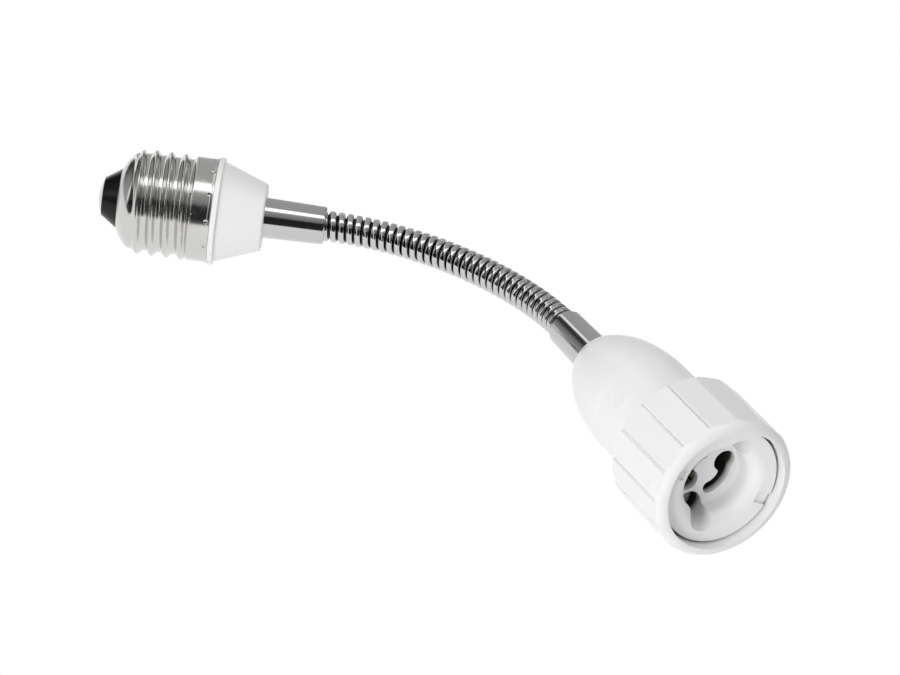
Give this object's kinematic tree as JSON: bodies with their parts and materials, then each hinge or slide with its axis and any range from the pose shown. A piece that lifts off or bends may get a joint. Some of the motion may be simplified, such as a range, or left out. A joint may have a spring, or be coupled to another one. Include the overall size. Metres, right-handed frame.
{
  "type": "gooseneck lamp socket adapter",
  "caption": "Edison screw base joined by a flexible metal gooseneck to a bullet-shaped socket with a fluted grip ring for a twist-lock lamp",
  "frame": {"origin": "on the screw base's axis, where the collar's flange meets the screw shell", "axes": "the hose bends in the XY plane, the socket's mouth looks along -Y, and the screw base is on the -X side of the socket"},
  "size_m": [0.1025, 0.175, 0.0359],
  "materials": {
    "white_plastic": "smooth white moulded plastic",
    "black_plastic": "smooth black moulded insulator",
    "plated_shell": "nickel-plated rolled sheet",
    "chrome_trim": "polished chrome",
    "hose_metal": "chromed ridged hose",
    "steel_parts": "zinc-plated steel",
    "brass_parts": "plain brass strip",
    "plate_board": "pressed insulating board",
    "solder": "dull solder",
    "live_insulation": "brown wire insulation",
    "neutral_insulation": "blue wire insulation"
  },
  "bodies": {
    "screw_base": {"screw_shell": "plated_shell", "tip_insulator": "black_plastic", "tip_contact": "plated_shell", "live_tip_solder": "solder", "neutral_shell_solder": "solder", "base_collar": "white_plastic", "base_washer": "steel_parts", "base_nut": "steel_parts", "base_ferrule": "chrome_trim", "hose_base_end": "hose_metal", "live_wire": "live_insulation", "neutral_wire": "neutral_insulation"},
    "hose_segment_01": {"hose_link_01": "hose_metal"},
    "hose_segment_02": {"hose_link_02": "hose_metal"},
    "hose_segment_03": {"hose_link_03": "hose_metal"},
    "hose_segment_04": {"hose_link_04": "hose_metal"},
    "hose_segment_05": {"hose_link_05": "hose_metal"},
    "hose_segment_06": {"hose_link_06": "hose_metal"},
    "hose_segment_07": {"hose_link_07": "hose_metal"},
    "hose_segment_08": {"hose_link_08": "hose_metal"},
    "hose_segment_09": {"hose_link_09": "hose_metal"},
    "hose_segment_10": {"hose_link_10": "hose_metal"},
    "hose_segment_11": {"hose_link_11": "hose_metal"},
    "hose_segment_12": {"hose_link_12": "hose_metal"},
    "hose_segment_13": {"hose_link_13": "hose_metal"},
    "hose_segment_14": {"hose_link_14": "hose_metal"},
    "hose_segment_15": {"hose_link_15": "hose_metal"},
    "hose_segment_16": {"hose_link_16": "hose_metal"},
    "lamp_socket": {"back_plate": "plate_board", "back_plate_screw": "steel_parts", "contact_live": "brass_parts", "contact_neutral": "brass_parts", "grip_ring": "white_plastic", "hose_socket_end": "hose_metal", "housing": "white_plastic", "insert_screw_lower": "steel_parts", "insert_screw_upper": "steel_parts", "rivet_live": "brass_parts", "rivet_neutral": "brass_parts", "socket_ferrule": "chrome_trim", "socket_insert": "white_plastic", "socket_nut": "steel_parts", "socket_solder_live": "solder", "socket_solder_neutral": "solder", "socket_washer": "steel_parts"}
  },
  "joints": [
    {"name": "lower_hose_bend", "type": "hinge", "parent": "screw_base", "child": "hose_segment_01", "pos_m": [0.02662, -0.01593, 0], "axis": [0, 0, -1], "range_deg": [-16, 8], "deforming": ["live_wire", "neutral_wire"]},
    {"name": "lower_hose_swing", "type": "hinge", "parent": "hose_segment_01", "child": "hose_segment_02", "pos_m": [0.03017, -0.01844, 0], "axis": [0.6054, 0.7959, 0], "range_deg": [-12, 12]},
    {"name": "lower_hose_bend_03", "type": "hinge", "parent": "hose_segment_02", "child": "hose_segment_03", "pos_m": [0.03354, -0.0212, 0], "axis": [0, 0, -1], "range_deg": [-16, 8]},
    {"name": "lower_hose_swing_04", "type": "hinge", "parent": "hose_segment_03", "child": "hose_segment_04", "pos_m": [0.03672, -0.02418, 0], "axis": [0.7071, 0.7071, 0], "range_deg": [-12, 12]},
    {"name": "lower_hose_bend_05", "type": "hinge", "parent": "hose_segment_04", "child": "hose_segment_05", "pos_m": [0.0397, -0.02735, 0], "axis": [0, 0, -1], "range_deg": [-16, 8]},
    {"name": "lower_hose_swing_06", "type": "hinge", "parent": "hose_segment_05", "child": "hose_segment_06", "pos_m": [0.04248, -0.0307, 0], "axis": [0.7885, 0.615, 0], "range_deg": [-12, 12]},
    {"name": "lower_hose_bend_07", "type": "hinge", "parent": "hose_segment_06", "child": "hose_segment_07", "pos_m": [0.04505, -0.03422, 0], "axis": [0, 0, -1], "range_deg": [-16, 8]},
    {"name": "lower_hose_swing_08", "type": "hinge", "parent": "hose_segment_07", "child": "hose_segment_08", "pos_m": [0.04742, -0.03787, 0], "axis": [0.8537, 0.5207, 0], "range_deg": [-12, 12]},
    {"name": "upper_hose_bend", "type": "hinge", "parent": "hose_segment_08", "child": "hose_segment_09", "pos_m": [0.04958, -0.04165, 0], "axis": [0, 0, -1], "range_deg": [-16, 8]},
    {"name": "upper_hose_swing", "type": "hinge", "parent": "hose_segment_09", "child": "hose_segment_10", "pos_m": [0.05154, -0.04554, 0], "axis": [0.9058, 0.4236, 0], "range_deg": [-12, 12]},
    {"name": "upper_hose_bend_11", "type": "hinge", "parent": "hose_segment_10", "child": "hose_segment_11", "pos_m": [0.05327, -0.04953, 0], "axis": [0, 0, -1], "range_deg": [-16, 8]},
    {"name": "upper_hose_swing_12", "type": "hinge", "parent": "hose_segment_11", "child": "hose_segment_12", "pos_m": [0.05479, -0.05361, 0], "axis": [0.9467, 0.3221, 0], "range_deg": [-12, 12]},
    {"name": "upper_hose_bend_13", "type": "hinge", "parent": "hose_segment_12", "child": "hose_segment_13", "pos_m": [0.05608, -0.05777, 0], "axis": [0, 0, -1], "range_deg": [-16, 8]},
    {"name": "upper_hose_swing_14", "type": "hinge", "parent": "hose_segment_13", "child": "hose_segment_14", "pos_m": [0.05713, -0.062, 0], "axis": [0.9769, 0.2137, 0], "range_deg": [-12, 12]},
    {"name": "upper_hose_bend_15", "type": "hinge", "parent": "hose_segment_14", "child": "hose_segment_15", "pos_m": [0.05794, -0.06628, 0], "axis": [0, 0, -1], "range_deg": [-16, 8]},
    {"name": "upper_hose_swing_16", "type": "hinge", "parent": "hose_segment_15", "child": "hose_segment_16", "pos_m": [0.05849, -0.0706, 0], "axis": [0.9954, 0.0958, 0], "range_deg": [-12, 12]},
    {"name": "upper_hose_bend_17", "type": "hinge", "parent": "hose_segment_16", "child": "lamp_socket", "pos_m": [0.05877, -0.07494, 0], "axis": [0, 0, -1], "range_deg": [-16, 8]}
  ],
  "couplings": [
    {"joint": "lower_hose_bend_03", "follows": "lower_hose_bend", "ratio": 1},
    {"joint": "lower_hose_bend_05", "follows": "lower_hose_bend", "ratio": 1},
    {"joint": "lower_hose_bend_07", "follows": "lower_hose_bend", "ratio": 1},
    {"joint": "lower_hose_swing_04", "follows": "lower_hose_swing", "ratio": 1},
    {"joint": "lower_hose_swing_06", "follows": "lower_hose_swing", "ratio": 1},
    {"joint": "lower_hose_swing_08", "follows": "lower_hose_swing", "ratio": 1},
    {"joint": "upper_hose_bend_11", "follows": "upper_hose_bend", "ratio": 1},
    {"joint": "upper_hose_bend_13", "follows": "upper_hose_bend", "ratio": 1},
    {"joint": "upper_hose_bend_15", "follows": "upper_hose_bend", "ratio": 1},
    {"joint": "upper_hose_bend_17", "follows": "upper_hose_bend", "ratio": 1},
    {"joint": "upper_hose_swing_12", "follows": "upper_hose_swing", "ratio": 1},
    {"joint": "upper_hose_swing_14", "follows": "upper_hose_swing", "ratio": 1},
    {"joint": "upper_hose_swing_16", "follows": "upper_hose_swing", "ratio": 1}
  ]
}
